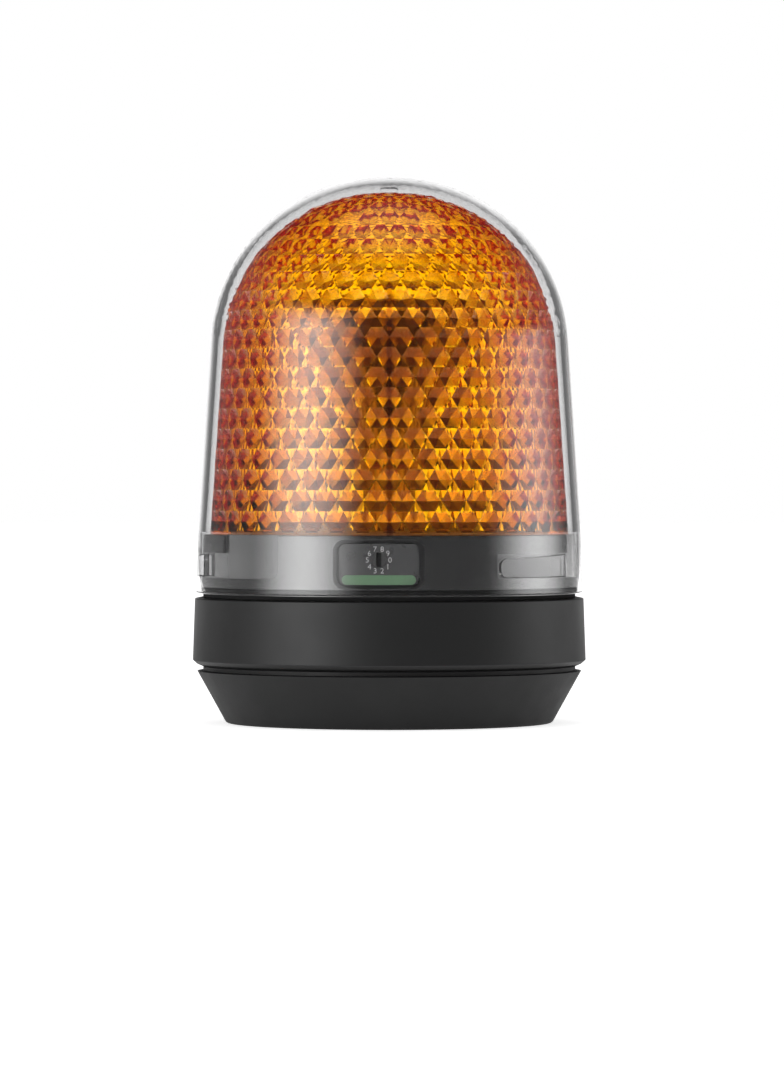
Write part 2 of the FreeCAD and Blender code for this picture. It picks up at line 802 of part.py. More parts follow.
def switch_body():
    case = Part.Face(outline(rectangle(switch_side, switch_side, dial_z, switch_edge)))
    case = case.extrude(V(0, -switch_depth, 0))
    case.translate(V(0, -switch_back, 0))
    bore = Part.makeCylinder(dial_r + slide_gap, dial_seat_depth + loose_gap,
                             V(0, -switch_front, dial_z), V(0, 1, 0))
    return case.cut(bore)


def switch_board():
    back = V(0, -switch_back + board_thickness / 2, 0)
    return block(switch_board_width, board_thickness, main_top_z, dial_z + switch_side / 2, back)


# Boards, and what stands on them

def main_board():
    board = rod(main_board_r, main_board_z, main_top_z)
    holes = [rod(board_screw_r + seat_gap, main_board_z, main_top_z, at) for at in standoff_spots]
    return board.cut(holes + [rod(main_board_hole_r, main_board_z, main_top_z)])


def board_standoffs():
    posts = []
    corner_r = standoff_flats / math.sqrt(3)
    for at in standoff_spots:
        ring = [at + spot(corner_r, 60 * i) + V(0, 0, main_top_z) for i in range(7)]
        post = Part.Face(Part.makePolygon(ring)).extrude(V(0, 0, spreader_z - main_top_z))
        post = post.fuse(rod(board_screw_r, main_board_z - standoff_stud, main_top_z, at))
        bore = rod(board_screw_r + seat_gap, led_top_z - board_screw_reach - tip_gap, spreader_z, at)
        posts.append(post.cut(bore))
    return group(posts)


def heat_spreader():
    plate = rod(spreader_r, spreader_z, led_board_z)
    holes = [rod(board_screw_r + seat_gap, spreader_z, led_board_z, at) for at in standoff_spots]
    return plate.cut(holes + [rod(reflector_screw_r + seat_gap, spreader_z, led_board_z)])


def led_board():
    board = rod(led_board_r, led_board_z, led_top_z)
    holes = [rod(board_screw_r + seat_gap, led_board_z, led_top_z, at) for at in standoff_spots]
    return board.cut(holes + [rod(reflector_screw_r + seat_gap, led_board_z, led_top_z)])


def board_screws():
    return group([screw(at, led_top_z, board_screw_reach, board_screw_r, board_screw_head_r,
                        board_screw_head) for at in standoff_spots])


def led_places():
    """Angles of the lamps: a few in each bay between the reflector's fins."""
    bay = 360 / fin_count
    for bay_index in range(fin_count):
        for i in range(leds_per_bay):
            yield optics_turn + (bay_index + 0.5) * bay + (i - (leds_per_bay - 1) / 2) * led_step


def led_packages():
    top = led_top_z + led_height
    return group([around(block(led_side, led_side, led_top_z, top, spot(led_circle_r, 0)), angle)
                  for angle in led_places()])


def led_domes():
    domes = []
    for angle in led_places():
        at = spot(led_circle_r, angle)
        at.z = led_top_z + led_height
        domes.append(Part.makeSphere(led_dome_r, at, V(0, 0, 1), 0, 90, 360))
    return group(domes)


def terminal_spots():
    middle = (terminal_poles - 1) / 2
    return [V((i - middle) * terminal_pitch, terminal_y, 0) for i in range(terminal_poles)]


def terminal_block():
    top = main_top_z + terminal_height
    low = top - terminal_screw_sink - terminal_screw_depth - seat_gap
    opening_z = main_top_z + terminal_opening_lift
    case = block(terminal_width, terminal_depth, main_top_z, top, V(0, terminal_y, 0))
    cuts = []
    for at in terminal_spots():
        cuts.append(rod(terminal_screw_r + seat_gap, low, top, at))
        front = V(at.x, terminal_y - terminal_depth / 2, 0)
        cuts.append(block(terminal_opening, terminal_depth, opening_z, opening_z + terminal_opening, front))
    return case.cut(cuts)


def terminal_screws():
    top = main_top_z + terminal_height - terminal_screw_sink
    screws = []
    for at in terminal_spots():
        body = rod(terminal_screw_r, top - terminal_screw_depth, top, at)
        slot = block(2 * terminal_screw_r, terminal_slot_width, top - terminal_slot_depth, top, at)
        screws.append(body.cut(slot))
    return group(screws)


def capacitors():
    cans = []
    for side in (-1, 1):
        at = V(capacitor_x, side * capacitor_pitch / 2, main_top_z)
        can = Part.makeCylinder(capacitor_r, capacitor_height, at)
        rims = [edge for edge in can.Edges if edge.BoundBox.ZLength < capacitor_edge]
        cans.append(can.makeFillet(capacitor_edge, rims))
    return group(cans)


def inductor():
    at = V(inductor_x, 0, 0)
    top = main_top_z + inductor_height
    drum = rod(inductor_core_r, main_top_z, top, at)
    foot = block(inductor_side, inductor_side, main_top_z, main_top_z + inductor_flange, at)
    cap = rod(inductor_side / 2, top - inductor_flange, top, at)
    return drum.fuse([foot, cap]).removeSplitter()


def control_chip():
    return block(chip_side, chip_side, main_top_z, main_top_z + chip_height, V(0, chip_y, 0))


def board_header():
    case = block(header_width, header_depth, main_top_z, led_board_z, V(0, header_y, 0))
    return case.cut(header_holes(header_pin_side + 2 * seat_gap))


def header_holes(side):
    """Two rows of square columns through the header."""
    columns = []
    for i in range(header_pins):
        for row in (-0.5, 0.5):
            x = (i - (header_pins - 1) / 2) * header_pitch
            at = V(x, header_y + row * header_pitch, 0)
            columns.append(block(side, side, main_top_z, led_board_z, at))
    return columns


def header_pin_rows():
    return group(header_holes(header_pin_side))


# Reflector

def trumpet_arc():
    """Radius of the arc that opens the stem out to the top plate."""
    rise = reflector_top_z - led_top_z - reflector_foot
    spread = reflector_top_r - reflector_stem_r
    return (rise ** 2 + spread ** 2) / (2 * spread)


def trumpet_r_at(z, grow):
    """Radius of the trumpet at a height; grow makes the arc larger, which leaves a wall inside."""
    arc_r = trumpet_arc()
    rise = z - led_top_z - reflector_foot
    return reflector_stem_r + arc_r - math.sqrt((arc_r + grow) ** 2 - rise ** 2)


def trumpet_z_at(r, grow):
    """Height at which the trumpet's arc, or a larger or smaller one, reaches a radius."""
    arc_r = trumpet_arc()
    rise = math.sqrt((arc_r + grow) ** 2 - (reflector_stem_r + arc_r - r) ** 2)
    return led_top_z + reflector_foot + rise


def trumpet(grow, low, arc_end=reflector_top_z):
    """Trumpet-shaped solid from a height up to the reflector's top, upright above the arc's end."""
    heights = [low, (low + arc_end) / 2, arc_end]
    bottom, middle, end = [V(trumpet_r_at(z, grow), 0, z) for z in heights]
    edges = [Part.Arc(bottom, middle, end).toShape()]
    corners = [end]
    if arc_end < reflector_top_z:
        corners.append(V(end.x, 0, reflector_top_z))
    corners += [V(0, 0, reflector_top_z), V(0, 0, low), bottom]
    edges += [Part.LineSegment(p, q).toShape() for p, q in zip(corners, corners[1:])]
    return Part.Face(Part.Wire(edges)).revolve(V(), V(0, 0, 1), 360)


def reflector():
    start_z = led_top_z + reflector_foot
    horn = trumpet(0, start_z).fuse(rod(reflector_foot_r, led_top_z, start_z))
    fin_r = reflector_top_r - fin_inset
    fin_space = trumpet(-fin_height, start_z, trumpet_z_at(fin_r, -fin_height))
    fins = []
    for i in range(fin_count):
        fin = Part.makeBox(fin_thickness, fin_r, reflector_top_z - led_top_z,
                           V(-fin_thickness / 2, -fin_r, led_top_z))
        fins.append(around(fin.common(fin_space), optics_turn + 360 * i / fin_count))
    hollow = trumpet(reflector_wall, led_top_z + reflector_bore_depth + reflector_wall)
    bore = rod(reflector_screw_r + seat_gap, led_top_z, led_top_z + reflector_bore_depth)
    return horn.fuse(fins).cut([hollow, bore]).removeSplitter()


def reflector_cap():
    rim_r = reflector_top_r + cap_rim
    top = reflector_top_z + cap_height
    low = reflector_top_z - cap_spigot
    inner_r = trumpet_r_at(low, reflector_wall) - slide_gap
    return turned([(0, low), (inner_r, low), (inner_r, reflector_top_z), (rim_r, reflector_top_z),
                   (rim_r, top, cap_round), (0, top)])


def reflector_screw():
    reach = led_top_z + reflector_bore_depth - tip_gap - spreader_z
    return screw(V(), spreader_z, reach, reflector_screw_r, reflector_screw_head_r,
                 reflector_screw_head, -1)


pieces = [mounting_base, body_seal, base_gasket, mounting_inserts, base_screws, cable_grommet,
          body_housing, globe_seal, clear_globe, amber_lens, settings_plate, settings_label,
          settings_dial, switch_body, switch_board, main_board, board_standoffs, heat_spreader,
          led_board, board_screws, led_packages, led_domes, terminal_block, terminal_screws,
          capacitors, inductor, control_chip, board_header, header_pin_rows, reflector,
          reflector_cap, reflector_screw]

os.makedirs("parts", exist_ok=True)
for piece in pieces:
    shape = piece()
    print(piece.__name__, shape.isValid(), len(shape.Solids), round(shape.Volume, 1))
    shape.exportStep("parts/" + piece.__name__ + ".step")
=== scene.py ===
import json
import math

import bmesh
import bpy
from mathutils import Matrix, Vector


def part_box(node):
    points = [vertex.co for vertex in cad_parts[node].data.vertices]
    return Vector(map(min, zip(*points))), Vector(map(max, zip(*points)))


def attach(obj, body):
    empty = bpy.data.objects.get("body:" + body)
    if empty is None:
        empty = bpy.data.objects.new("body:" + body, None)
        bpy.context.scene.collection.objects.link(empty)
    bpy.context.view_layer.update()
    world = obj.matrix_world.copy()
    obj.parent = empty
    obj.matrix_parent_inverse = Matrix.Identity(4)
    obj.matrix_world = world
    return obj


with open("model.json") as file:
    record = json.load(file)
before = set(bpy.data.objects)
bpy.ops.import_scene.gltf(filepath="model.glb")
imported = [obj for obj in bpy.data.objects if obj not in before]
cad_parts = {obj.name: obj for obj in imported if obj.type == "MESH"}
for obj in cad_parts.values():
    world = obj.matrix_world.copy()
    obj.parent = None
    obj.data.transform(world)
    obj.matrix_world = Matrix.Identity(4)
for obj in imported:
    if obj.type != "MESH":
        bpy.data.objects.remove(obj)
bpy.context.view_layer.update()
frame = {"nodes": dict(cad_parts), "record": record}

# Looks of the signal beacon, in metres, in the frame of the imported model: +Z up, window towards -Y.

nodes = frame["nodes"]
scene = bpy.context.scene

# The photograph's frame and its camera, as measured on the object
photo_width = 784
photo_height = 1066
focal_pixels = 5133
camera_distance = 1.361
camera_height = 0.0645
camera_turn = math.radians(3.2)
aim_height = 0.0502
aim_right = 0.00072
sensor_size = 36.0
view_end = 50

# Amber lens: its smooth outline, the painted shade and frost of its pits, and a dark stripe of painted shade
# down the front
lens_foot_z = 0.0507
lens_foot_r = 0.04740
lens_draft = math.radians(3.9)
lens_top_z = 0.1403
lens_dome_r = 0.04219
lens_dome_centre_r = 0.00188
pit_start = (0.0001, 0.0004)
pit_end = (0.0024, 0.002)
# Painted shade in the pits: a darker, redder tint, with less of it towards the top
pit_shade_tint = (0.86, 0.43, 0.28, 1)
pit_roughness = 0.16
pit_shade_fade_z = (0.1, 0.114)
pit_shade_fade = 0.7
# Painted shade: a dark upright stripe down the front of the lens, with where it turns, its colour, its half
# width and where it ends at the top
front_shade_turn = math.radians(3.2)
front_shade_tint = (0.6, 0.43, 0.32, 1)
front_shade_half = 0.0007
front_shade_end_z = (0.117, 0.113)
amber_absorb = (0.99, 0.872, 0.0)
amber_density = 1100
glass_ior = 1.585

# Body: where the collar starts, the neck under it, the floor of its slots, and the settings window
collar_start_z = (0.03425, 0.03435)
neck_r = (0.0498, 0.0496)
neck_z = (0.0332, 0.0333)
slot_floor_r = 0.04855
window_z = 0.0426
window_width = 0.023
window_height = 0.0124
window_round = 0.0029
ring_grey = (0.0135, 0.0135, 0.0138, 1)
# A lighter grey, on the slot floors as painted light that lifts their shade; the collar takes a fifth of it
lighter_grey = (0.107, 0.107, 0.109, 1)
gloss_ior = 1.8
moulded_grain = 1400
metal_grain = 900

# Dial and the numbers round it
dial_low, dial_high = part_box("settings_dial")
plate_r = -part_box("settings_plate")[0][1]
number_count = 10
number_ring_r = 0.0029
number_height = 0.00136
number_proud = 0.00003

# Studio: soft panels as (angle round, half width, low, high, fall, softness, strength), angles in degrees
left_panel = (-49.5, 39, -20, 13, 15, 1.0, 2.95)
right_panel = (100, 38, -20, 1, 11, 1.0, 2.2)
panel_foot = 10
fill_light = 0.4
top_light = 0.5
room_front = 0.037
room_back = 0.14
room_top = 0.3
room_high = 0.2
lens_room = 0.35
lens_top = 0.8

# Studio: white backdrop as (full up to, gone at, taller than wide, strength), angles in degrees
gloss_backdrop = (8, 25, 1.6, 1.0)
lens_backdrop = (18, 30, 1.7, 1.4)
backdrop_repeat = 90

# Floor: how it glows to the eye and to glass, and what gloss sees of it close by, in between and far off
floor_span = 6.0
floor_gap = 0.00005
floor_glow = 0.7
floor_white = 0.9
floor_between = 0.5
floor_far = (0.4, 1.0)
floor_close = (0.1, 0.065)
floor_close_dim = 0.75


# Nodes: small helpers

def new_material(name):
    """A node material with its Principled node, ready for settings."""
    material = bpy.data.materials.new(name)
    material.use_nodes = True
    return material, material.node_tree, material.node_tree.nodes["Principled BSDF"]


def set_values(node, **values):
    """Sets sockets of a node; underscores stand for the spaces in their names."""
    for name, value in values.items():
        node.inputs[name.replace("_", " ")].default_value = value


def coordinates(tree, kind="Object"):
    """The three coordinates of a point, in the object's own frame unless another kind is named."""
    place = tree.nodes.new("ShaderNodeTexCoord")
    split = tree.nodes.new("ShaderNodeSeparateXYZ")
    tree.links.new(place.outputs[kind], split.inputs[0])
    return split.outputs


def noise(tree, scale, detail=4.0):
    """Noise in the object's own coordinates."""
    place = tree.nodes.new("ShaderNodeTexCoord")
    texture = tree.nodes.new("ShaderNodeTexNoise")
    set_values(texture, Scale=scale, Detail=detail, Roughness=0.5)
    tree.links.new(place.outputs["Object"], texture.inputs["Vector"])
    return texture.outputs["Fac"]


def calc(tree, operation, first, second=0.0):
    """One math node; each input is a socket or a number."""
    node = tree.nodes.new("ShaderNodeMath")
    node.operation = operation
    for place, value in zip(node.inputs, (first, second)):
        if hasattr(value, "links"):
            tree.links.new(value, place)
        else:
            place.default_value = value
    return node.outputs[0]


def chain(tree, operation, values):
    """Joins any number of values with one operation, from the first to the last."""
    result = values[0]
    for value in values[1:]:
        result = calc(tree, operation, result, value)
    return result


def plus(tree, *values):
    return chain(tree, "ADD", values)


def minus(tree, first, second):
    return calc(tree, "SUBTRACT", first, second)


def times(tree, *values):
    return chain(tree, "MULTIPLY", values)


def most(tree, *values):
    return chain(tree, "MAXIMUM", values)


def size_of(tree, value):
    return calc(tree, "ABSOLUTE", value)


def length(tree, first, second):
    """Length of a line with two sides at right angles."""
    return calc(tree, "SQRT", plus(tree, times(tree, first, first), times(tree, second, second)))


def fade(tree, source, start, end):
    """Goes smoothly from 0 to 1 as source goes from start to end, or the other way round."""
    node = tree.nodes.new("ShaderNodeMapRange")
    node.interpolation_type = "SMOOTHSTEP"
    low, high = (0.0, 1.0) if start < end else (1.0, 0.0)
    node.inputs["From Min"].default_value = min(start, end)
    node.inputs["From Max"].default_value = max(start, end)
    node.inputs["To Min"].default_value = low
    node.inputs["To Max"].default_value = high
    tree.links.new(source, node.inputs["Value"])
    return node.outputs["Result"]


def ramp(tree, source, low, high, start=0.3, end=0.7):
    """Blends between two colours or two grey levels as source goes from start to end."""
    node = tree.nodes.new("ShaderNodeValToRGB")
    node.color_ramp.elements[0].position = start
    node.color_ramp.elements[1].position = end
    node.color_ramp.elements[0].color = low if hasattr(low, "__len__") else (low, low, low, 1)
    node.color_ramp.elements[1].color = high if hasattr(high, "__len__") else (high, high, high, 1)
    tree.links.new(source, node.inputs["Fac"])
    return node.outputs["Color"]


def bump(tree, shader, height, distance):
    """Adds a bump of a given depth to a shader."""
    node = tree.nodes.new("ShaderNodeBump")
    set_values(node, Strength=1.0, Distance=distance)
    tree.links.new(height, node.inputs["Height"])
    tree.links.new(node.outputs["Normal"], shader.inputs["Normal"])


def absorb(tree, colour, density):
    """Tints what light passes through inside a clear solid."""
    volume = tree.nodes.new("ShaderNodeVolumeAbsorption")
    set_values(volume, Color=(*colour, 1), Density=density)
    tree.links.new(volume.outputs["Volume"], tree.nodes["Material Output"].inputs["Volume"])


def shade(colour, factor):
    return tuple(min(1.0, c * factor) for c in colour) + (1,)


# Materials of the object

def clear_polycarbonate():
    """Clear, polished plastic of the globe, with a faint smoky tint where it is thick."""
    material, tree, shader = new_material("clear_polycarbonate")
    set_values(shader, Base_Color=(1, 1, 1, 1), Transmission_Weight=1.0, IOR=glass_ior)
    tree.links.new(ramp(tree, noise(tree, 60), 0.0, 0.03), shader.inputs["Roughness"])
    absorb(tree, (0.4, 0.36, 0.4), 18)
    return material


def pit_depth(tree):
    """How deep a point of the lens lies under its smooth outline, in metres: a leaning wall, then a dome."""
    x, y, z = coordinates(tree)
    radius = length(tree, x, y)
    lean = times(tree, minus(tree, z, lens_foot_z), math.tan(lens_draft))
    wall = minus(tree, minus(tree, lens_foot_r, lean), radius)
    past = most(tree, minus(tree, radius, lens_dome_centre_r), 0.0)
    rise = minus(tree, z, lens_top_z - lens_dome_r)
    dome = minus(tree, lens_dome_r, length(tree, past, rise))
    on_dome = calc(tree, "GREATER_THAN", rise, lens_dome_r * math.sin(lens_draft))
    return plus(tree, times(tree, dome, on_dome), times(tree, wall, minus(tree, 1.0, on_dome)))


def lens_seam(tree):
    """Mask of an upright dark stripe of painted shade down the front of the lens."""
    x, y, z = coordinates(tree)
    across = plus(tree, times(tree, x, math.cos(front_shade_turn)), times(tree, y, math.sin(front_shade_turn)))
    near = fade(tree, size_of(tree, across), front_shade_half * 1.6, front_shade_half * 0.5)
    return times(tree, near, calc(tree, "LESS_THAN", y, 0.0), fade(tree, z, *front_shade_end_z))


def amber_polycarbonate():
    """Amber plastic of the lens: polished lands and frosted pits, with painted shade that makes the pits
    darker and redder, less of it towards the top, and a dark stripe of painted shade down the front.
    """
    material, tree, shader = new_material("amber_polycarbonate")
    set_values(shader, Transmission_Weight=1.0, IOR=glass_ior, Specular_Tint=(0.75, 0.55, 0.35, 1))
    depth = pit_depth(tree)
    in_pit = times(tree, fade(tree, depth, *pit_start), fade(tree, depth, *pit_end))
    # Painted shade in the pits, fading out towards the top
    lighter = fade(tree, coordinates(tree)[2], *pit_shade_fade_z)
    pit_shade = times(tree, in_pit, minus(tree, 1.0, times(tree, lighter, pit_shade_fade)))
    tone = ramp(tree, pit_shade, (1, 1, 1, 1), pit_shade_tint, 0.0, 1.0)
    # Painted shade: a dark stripe multiplied into the colour down the front of the lens
    front_shade_mix = tree.nodes.new("ShaderNodeMix")
    front_shade_mix.data_type = "RGBA"
    front_shade_mix.blend_type = "MULTIPLY"
    front_shade_mix.inputs["B"].default_value = front_shade_tint
    tree.links.new(lens_seam(tree), front_shade_mix.inputs["Factor"])
    tree.links.new(tone, front_shade_mix.inputs["A"])
    tree.links.new(front_shade_mix.outputs["Result"], shader.inputs["Base Color"])
    rough = plus(tree, times(tree, in_pit, pit_roughness), ramp(tree, noise(tree, 90), 0.01, 0.05))
    tree.links.new(rough, shader.inputs["Roughness"])
    absorb(tree, amber_absorb, amber_density)
    return material


def moulded_plastic(name, colour, roughness, depth=0.00002, coat=0.0):
    """Moulded plastic with a fine grain and faint changes of tone, and a gloss where coat is given."""
    material, tree, shader = new_material(name)
    set_values(shader, Coat_Weight=coat, Coat_Roughness=0.2, Coat_IOR=gloss_ior)
    tone = ramp(tree, noise(tree, 35), shade(colour, 0.88), shade(colour, 1.12))
    tree.links.new(tone, shader.inputs["Base Color"])
    rough = ramp(tree, noise(tree, 120), roughness - 0.04, roughness + 0.04)
    tree.links.new(rough, shader.inputs["Roughness"])
    bump(tree, shader, noise(tree, moulded_grain, 2.0), depth)
    return material


def dial_plastic():
    """Plastic of the dial: like the plate, with painted shade that makes it dark down in its slot."""
    material, tree, shader = new_material("dial_plastic")
    set_values(shader, Coat_Roughness=0.2, Coat_IOR=gloss_ior)
    face_y = dial_low[1]
    on_face = fade(tree, coordinates(tree)[1], face_y + 0.0003, face_y + 0.0001)
    # Painted shade: the colour goes nearly black down in the slot
    tone = ramp(tree, on_face, 0.004, 0.075, 0.0, 1.0)
    tree.links.new(tone, shader.inputs["Base Color"])
    tree.links.new(times(tree, on_face, 0.5), shader.inputs["Coat Weight"])
    tree.links.new(ramp(tree, noise(tree, 500), 0.3, 0.42), shader.inputs["Roughness"])
    bump(tree, shader, noise(tree, 1800, 2.0), 0.00001)
    return material


def window_mask(tree, x, y, z):
    """Mask of the rounded rectangle of the settings window, at the front."""
    beside = most(tree, minus(tree, size_of(tree, x), window_width / 2 - window_round), 0.0)
    from_middle = size_of(tree, minus(tree, z, window_z))
    above = most(tree, minus(tree, from_middle, window_height / 2 - window_round), 0.0)
    inside = fade(tree, length(tree, beside, above), window_round + 0.0004, window_round - 0.0002)
    return times(tree, inside, calc(tree, "LESS_THAN", y, 0.0))


def housing_plastic():
    """Black plastic of the body: satin on the ring, smoother and greyer on the collar, dull in the window,
    with painted light on the slot floors.
    """
    material, tree, shader = new_material("housing_plastic")
    set_values(shader, IOR=1.64, Coat_Roughness=0.18, Coat_IOR=gloss_ior)
    x, y, z = coordinates(tree)
    radius = length(tree, x, y)
    on_collar = fade(tree, z, *collar_start_z)
    in_window = window_mask(tree, x, y, z)
    off_floor = size_of(tree, minus(tree, radius, slot_floor_r))
    # Painted light: the slot floors, which lie in shade, are given the lighter grey
    slot_painted_light = times(tree, fade(tree, off_floor, 0.0001, 0.00005), on_collar)
    in_neck = times(tree, fade(tree, radius, *neck_r), fade(tree, z, *neck_z), minus(tree, 1.0, on_collar))

    # Colour: dark ring, a fifth of the way to a lighter grey on the collar, and all the way on the slot
    # floors as painted light
    level = times(tree, plus(tree, on_collar, times(tree, slot_painted_light, 4.0)), 0.2)
    tone = tree.nodes.new("ShaderNodeVectorMath")
    tone.operation = "SCALE"
    tree.links.new(ramp(tree, level, ring_grey, lighter_grey, 0.0, 1.0), tone.inputs[0])
    tree.links.new(plus(tree, times(tree, noise(tree, 35), 0.3), 0.85), tone.inputs["Scale"])
    tree.links.new(tone.outputs[0], shader.inputs["Base Color"])

    # Gloss: a clear coat on the collar, and dull surfaces in the window and the neck
    coat = times(tree, on_collar, minus(tree, 1.0, times(tree, in_window, 0.85)))
    tree.links.new(coat, shader.inputs["Coat Weight"])
    rough = minus(tree, 0.42, times(tree, on_collar, 0.24))
    rough = plus(tree, rough, times(tree, minus(tree, noise(tree, 120), 0.5), 0.1))
    rough = plus(tree, rough, times(tree, most(tree, in_neck, in_window), 0.5))
    tree.links.new(rough, shader.inputs["Roughness"])
    bump(tree, shader, noise(tree, moulded_grain, 2.0), 0.00001)
    return material


def metal(name, colour, roughness):
    """Metal with a fine grain."""
    material, tree, shader = new_material(name)
    set_values(shader, Metallic=1.0)
    tone = ramp(tree, noise(tree, 60), shade(colour, 0.9), shade(colour, 1.05))
    tree.links.new(tone, shader.inputs["Base Color"])
    rough = ramp(tree, noise(tree, metal_grain), roughness * 0.7, roughness * 1.3)
    tree.links.new(rough, shader.inputs["Roughness"])
    bump(tree, shader, noise(tree, metal_grain), 0.00001)
    return material


def number_print():
    """White ink of the numbers round the dial."""
    material, tree, shader = new_material("number_print")
    tone = ramp(tree, noise(tree, 900), (0.75, 0.75, 0.75, 1), (0.92, 0.92, 0.91, 1))
    tree.links.new(tone, shader.inputs["Base Color"])
    tree.links.new(ramp(tree, noise(tree, 300), 0.35, 0.5), shader.inputs["Roughness"])
    bump(tree, shader, noise(tree, 2500), 0.000004)
    return material


finishes = {
    "black_plastic": moulded_plastic("black_plastic", (0.0185, 0.0185, 0.0188), 0.5),
    "housing_plastic": housing_plastic(),
    "clear_polycarbonate": clear_polycarbonate(),
    "amber_polycarbonate": amber_polycarbonate(),
    "seal_rubber": moulded_plastic("seal_rubber", (0.02, 0.02, 0.02), 0.6),
    "gasket_rubber": moulded_plastic("gasket_rubber", (0.02, 0.02, 0.02), 0.75),
    "plate_plastic": moulded_plastic("plate_plastic", (0.038, 0.038, 0.039), 0.3, depth=0.000005, coat=0.9),
    "label_green": moulded_plastic("label_green", (0.165, 0.4, 0.178), 0.3, depth=0.000005, coat=0.9),
    "dial_plastic": dial_plastic(),
    "switch_plastic": moulded_plastic("switch_plastic", (0.02, 0.02, 0.02), 0.5),
    "circuit_board": moulded_plastic("circuit_board", (0.02, 0.13, 0.05), 0.35),
    "lamp_board": moulded_plastic("lamp_board", (0.78, 0.62, 0.4), 0.5),
    "lamp_package": moulded_plastic("lamp_package", (0.8, 0.78, 0.7), 0.5),
    "lamp_lens": moulded_plastic("lamp_lens", (0.9, 0.7, 0.15), 0.2),
    "terminal_plastic": moulded_plastic("terminal_plastic", (0.03, 0.2, 0.08), 0.45),
    "reflector_plastic": metal("reflector_plastic", (0.54, 0.34, 0.23), 0.1),
    "insert_brass": metal("insert_brass", (0.78, 0.58, 0.25), 0.3),
    "screw_steel": metal("screw_steel", (0.62, 0.62, 0.63), 0.3),
    "spreader_aluminium": metal("spreader_aluminium", (0.82, 0.83, 0.84), 0.35),
    "can_aluminium": metal("can_aluminium", (0.8, 0.8, 0.82), 0.25),
}
for part in frame["record"]["subparts"]:
    for place in nodes[part["node"]].material_slots:
        place.material = finishes[part["material_slot"]]


# Numbers round the dial, printed on the curved plate

def digit_shape(sign):
    """Corners (right, up) and faces of one character of the built-in font, of height 1 about its middle."""
    curve = bpy.data.curves.new("digit", "FONT")
    curve.body = sign
    curve.resolution_u = 5
    holder = bpy.data.objects.new("digit", curve)
    mesh = bpy.data.meshes.new_from_object(holder)
    corners = [vertex.co.copy() for vertex in mesh.vertices]
    faces = [tuple(face.vertices) for face in mesh.polygons]
    bpy.data.objects.remove(holder)
    bpy.data.curves.remove(curve)
    bpy.data.meshes.remove(mesh)
    left, right = min(c.x for c in corners), max(c.x for c in corners)
    low, high = min(c.y for c in corners), max(c.y for c in corners)
    size = high - low
    middle_x, middle_y = (left + right) / 2, (low + high) / 2
    return [((c.x - middle_x) / size, (c.y - middle_y) / size) for c in corners], faces


def dial_numbers():
    """Numbers round the dial, thin prints that follow the plate's curve and stand a little proud of it."""
    middle_z = (dial_low[2] + dial_high[2]) / 2
    shape = bmesh.new()
    for number in range(number_count):
        angle = -2 * math.pi * number / number_count
        x0 = number_ring_r * math.cos(angle)
        z0 = middle_z + number_ring_r * math.sin(angle)
        corners, faces = digit_shape(str(number))
        places = [(x0 + u * number_height, z0 + v * number_height) for u, v in corners]
        front = [shape.verts.new((x, -math.sqrt(plate_r ** 2 - x * x) - number_proud, z)) for x, z in places]
        for face in faces:
            shape.faces.new([front[i] for i in face])
    bmesh.ops.recalc_face_normals(shape, faces=shape.faces)
    back = bmesh.ops.extrude_face_region(shape, geom=shape.faces[:])
    for item in back["geom"]:
        if isinstance(item, bmesh.types.BMVert):
            item.co.y += 2 * number_proud
    bmesh.ops.recalc_face_normals(shape, faces=shape.faces)
    mesh = bpy.data.meshes.new("dial_numbers")
    shape.to_mesh(mesh)
    shape.free()
    mesh.materials.append(number_print())
    piece = bpy.data.objects.new("dial_numbers", mesh)
    scene.collection.objects.link(piece)
    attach(piece, "body")


dial_numbers()


# Camera at the photograph's viewing angle

def make_camera():
    data = bpy.data.cameras.new("camera")
    data.sensor_width = sensor_size
    data.lens = sensor_size * focal_pixels / max(photo_width, photo_height)
    data.clip_end = view_end
    camera = bpy.data.objects.new("camera", data)
    scene.collection.objects.link(camera)
    side = Vector((math.cos(camera_turn), math.sin(camera_turn), 0))
    away = Vector((math.sin(camera_turn), -math.cos(camera_turn), 0))
    camera.location = away * camera_distance + Vector((0, 0, camera_height))
    target = side * aim_right + Vector((0, 0, aim_height))
    camera.rotation_mode = "QUATERNION"
    camera.rotation_quaternion = (target - camera.location).to_track_quat("-Z", "Y")
    scene.camera = camera


make_camera()


# World and floor

def rise_of(angle):
    """Upward part of a direction at an angle, in degrees, above the horizon."""
    return math.sin(math.radians(angle))


def soft_box(tree, turn, rise, middle, half_width, low, high, fall, soft, strength):
    """Light from a tall panel with soft edges, centred at an angle round the object."""
    offset = size_of(tree, minus(tree, turn, math.radians(middle)))
    glow = fade(tree, offset, math.radians(half_width), math.radians(half_width * (1 - soft)))
    above = fade(tree, rise, rise_of(low - panel_foot), rise_of(low))
    below = fade(tree, rise, rise_of(high + fall), rise_of(high))
    return times(tree, glow, strength, times(tree, above, below))


def backdrop(tree, turn, height, half, edge, taller, strength):
    """White wall seen round a direction: full up to one angle from it, gone at another, taller than wide."""
    across = fade(tree, turn, math.radians(edge), math.radians(half))
    upright = fade(tree, height, rise_of(edge * taller), rise_of(half * taller))
    return times(tree, across, upright, strength)


